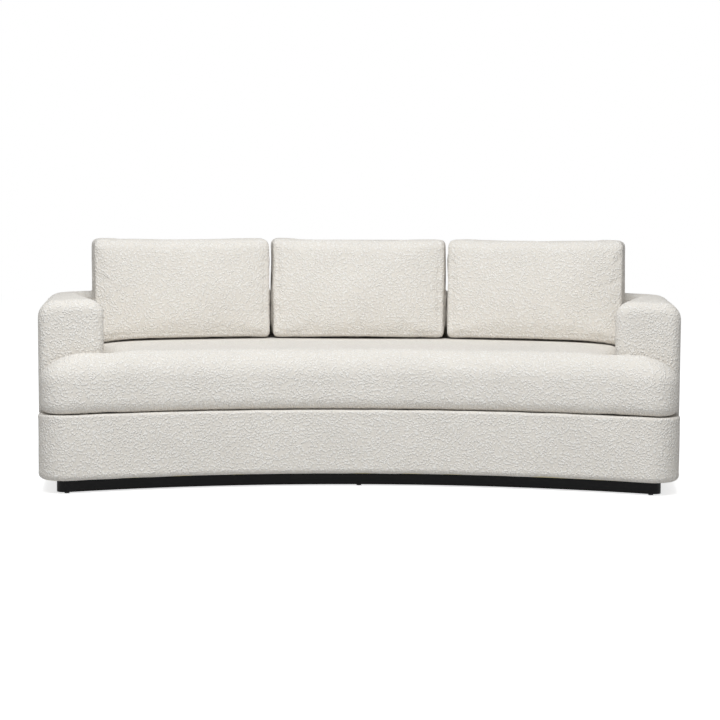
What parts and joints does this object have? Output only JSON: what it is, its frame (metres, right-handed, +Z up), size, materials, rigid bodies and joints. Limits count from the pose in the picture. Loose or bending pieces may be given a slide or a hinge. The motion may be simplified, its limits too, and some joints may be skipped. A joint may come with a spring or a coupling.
{
  "type": "curved sofa",
  "caption": "Crescent-shaped sofa upholstered in cream boucle, with a bench seat cushion, loose back cushions, rounded arms and a recessed black plinth.",
  "frame": {"origin": "on the floor, in the middle of the sofa's width and depth", "axes": "+Z up, +X to the sofa's left-hand end as the sitter faces out, which is to the right seen from the front; the front faces -Y"},
  "size_m": [2.3372, 1.1171, 0.862],
  "materials": {
    "boucle": "cream boucle, looped nubs about 4 mm across",
    "upholstery_foam": "open-cell foam",
    "fibre_fill": "white polyester fibre",
    "felt_pad": "needled felt",
    "lining_cloth": "black non-woven cloth",
    "elastic_webbing": "woven elastic webbing",
    "black_plinth": "black painted board, satin",
    "glide_plastic": "moulded nylon",
    "spring_steel": "drawn steel wire and zinc plated steel",
    "frame_wood": "birch plywood and pine, sawn"
  },
  "bodies": {
    "frame": {"arm_cover_left": "boucle", "arm_cover_right": "boucle", "arm_foam_left": "upholstery_foam", "arm_foam_right": "upholstery_foam", "arm_panel_left": "frame_wood", "arm_panel_right": "frame_wood", "arm_stump_left": "frame_wood", "arm_stump_right": "frame_wood", "arm_top_board_left": "frame_wood", "arm_top_board_right": "frame_wood", "back_cover": "boucle", "back_foam": "upholstery_foam", "back_strap_lower": "elastic_webbing", "back_strap_middle": "elastic_webbing", "back_strap_upper": "elastic_webbing", "back_top_rail": "frame_wood", "back_upright_inner_left": "frame_wood", "back_upright_inner_right": "frame_wood", "back_upright_outer_left": "frame_wood", "back_upright_outer_right": "frame_wood", "base_back_rail": "frame_wood", "base_cover": "boucle", "base_foam": "upholstery_foam", "base_front_rail": "frame_wood", "base_left_rail": "frame_wood", "base_right_rail": "frame_wood", "cross_rail_left": "frame_wood", "cross_rail_middle": "frame_wood", "cross_rail_right": "frame_wood", "deck_pad": "felt_pad", "dust_cloth": "lining_cloth", "floor_glides": "glide_plastic", "frame_screws": "spring_steel", "front_corner_board_left": "frame_wood", "front_corner_board_right": "frame_wood", "plinth_back_board": "black_plinth", "plinth_cross_board_left": "black_plinth", "plinth_cross_board_right": "black_plinth", "plinth_front_board": "black_plinth", "plinth_left_board": "black_plinth", "plinth_right_board": "black_plinth", "rear_corner_board_left": "frame_wood", "rear_corner_board_right": "frame_wood", "seat_springs": "spring_steel", "spring_clips": "spring_steel", "spring_cloth": "lining_cloth", "spring_rail": "frame_wood"},
    "seat_cushion": {"seat_core": "upholstery_foam", "seat_cover": "boucle", "seat_wrap": "fibre_fill"},
    "back_cushion_left": {"back_cushion_cover_left": "boucle", "back_cushion_fill_left": "fibre_fill"},
    "back_cushion_middle": {"back_cushion_cover_middle": "boucle", "back_cushion_fill_middle": "fibre_fill"},
    "back_cushion_right": {"back_cushion_cover_right": "boucle", "back_cushion_fill_right": "fibre_fill"}
  },
  "joints": [
    {"name": "seat_cushion_lift", "type": "slide", "parent": "frame", "child": "seat_cushion", "axis": [0, 0, 1], "range_m": [0, 0.4]},
    {"name": "back_cushion_left_lift", "type": "slide", "parent": "seat_cushion", "child": "back_cushion_left", "axis": [0, 0, 1], "range_m": [0, 0.4]},
    {"name": "back_cushion_middle_lift", "type": "slide", "parent": "seat_cushion", "child": "back_cushion_middle", "axis": [0, 0, 1], "range_m": [0, 0.4]},
    {"name": "back_cushion_right_lift", "type": "slide", "parent": "seat_cushion", "child": "back_cushion_right", "axis": [0, 0, 1], "range_m": [0, 0.4]}
  ]
}
